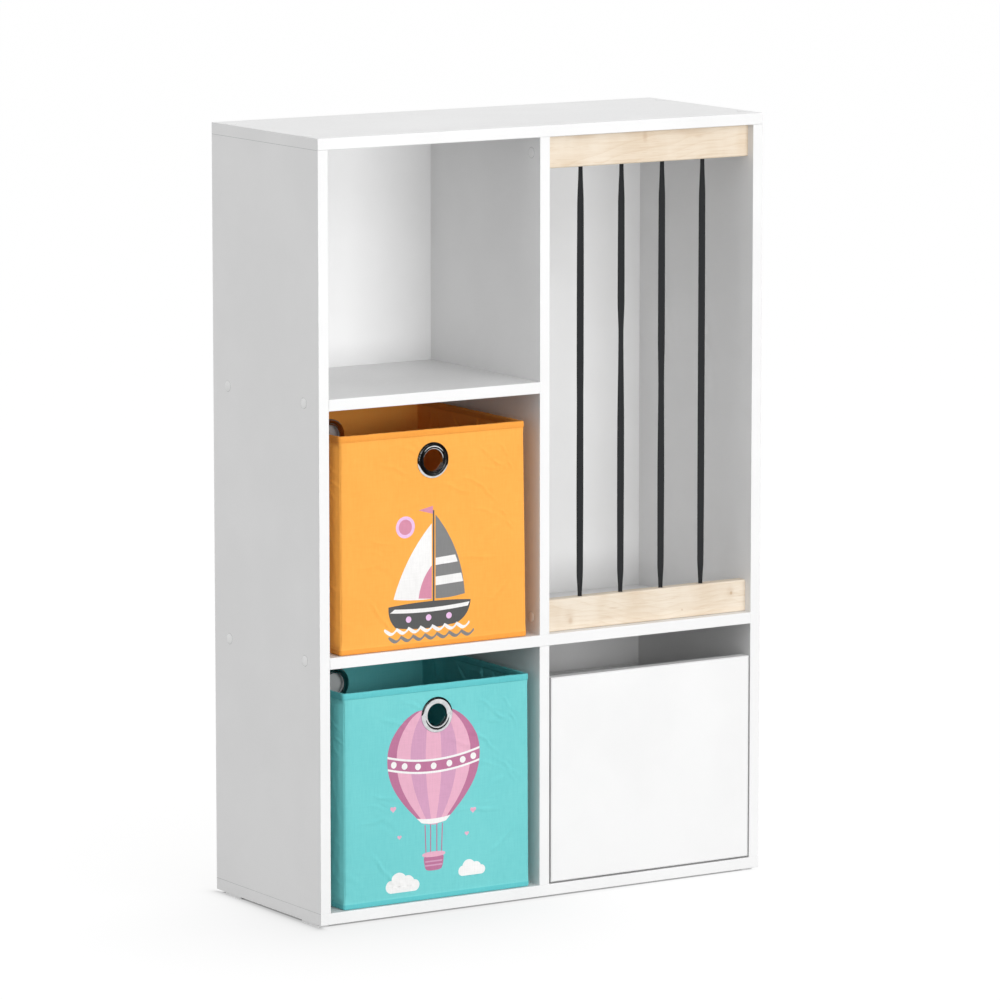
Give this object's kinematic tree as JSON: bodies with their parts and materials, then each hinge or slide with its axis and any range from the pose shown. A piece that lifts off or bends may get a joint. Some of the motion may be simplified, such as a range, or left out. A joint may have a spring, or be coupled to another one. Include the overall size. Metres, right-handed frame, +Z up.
{
  "type": "soft-toy storage shelf",
  "caption": "Cube-bay nursery shelf with a tall bay closed by elastic straps between wooden rails, a pull-out drawer and folding fabric boxes with eyelets.",
  "frame": {"origin": "on the floor, at the middle of the unit's width and depth", "axes": "+X to the right seen from the front, +Y from the front to the back, +Z up"},
  "size_m": [0.7218, 0.288, 1.0769],
  "materials": {
    "white_board": "white melamine-faced board, satin",
    "white_plastic": "white moulded plastic",
    "channel_steel": "white powder-coated steel",
    "birch": "clear-lacquered birch",
    "elastic": "woven elastic webbing",
    "zinc": "zinc-plated steel",
    "chrome": "polished nickel plate",
    "orange_cloth": "non-woven cloth over card",
    "orange_trim": "folded cloth binding",
    "turquoise_cloth": "non-woven cloth over card",
    "turquoise_trim": "folded cloth binding"
  },
  "bodies": {
    "cabinet": {"top_board": "white_board", "bottom_board": "white_board", "left_side": "white_board", "right_side": "white_board", "upper_divider": "white_board", "lower_divider": "white_board", "middle_shelf": "white_board", "upper_shelf": "white_board", "back_panel": "white_board", "floor_glides": "white_plastic", "carcass_screws": "zinc", "screw_caps": "white_plastic", "divider_dowels": "birch", "top_rail": "birch", "bottom_rail": "birch", "strap_1": "elastic", "strap_2": "elastic", "strap_3": "elastic", "strap_4": "elastic", "channel_left": "channel_steel", "channel_right": "channel_steel"},
    "drawer": {"drawer_front": "white_board", "drawer_left": "white_board", "drawer_right": "white_board", "drawer_rear": "white_board", "drawer_bottom": "white_board", "drawer_dowels": "birch", "tongue_left": "white_plastic", "tongue_right": "white_plastic"},
    "orange_box": {"orange_front": "orange_cloth", "orange_rear": "orange_cloth", "orange_left": "orange_cloth", "orange_right": "orange_cloth", "orange_base": "orange_cloth", "orange_board": "orange_trim", "orange_rim": "orange_trim", "orange_eyelet_front": "chrome", "orange_eyelet_rear": "chrome"},
    "turquoise_box": {"turquoise_front": "turquoise_cloth", "turquoise_rear": "turquoise_cloth", "turquoise_left": "turquoise_cloth", "turquoise_right": "turquoise_cloth", "turquoise_base": "turquoise_cloth", "turquoise_board": "turquoise_trim", "turquoise_rim": "turquoise_trim", "turquoise_eyelet_front": "chrome", "turquoise_eyelet_rear": "chrome"}
  },
  "joints": [
    {"name": "drawer_slide", "type": "slide", "parent": "cabinet", "child": "drawer", "axis": [0, -1, 0], "range_m": [0, 0.19]},
    {"name": "orange_box_slide", "type": "slide", "parent": "cabinet", "child": "orange_box", "axis": [0, -1, 0], "range_m": [0, 0.3]},
    {"name": "turquoise_box_slide", "type": "slide", "parent": "cabinet", "child": "turquoise_box", "axis": [0, -1, 0], "range_m": [0, 0.3]}
  ]
}
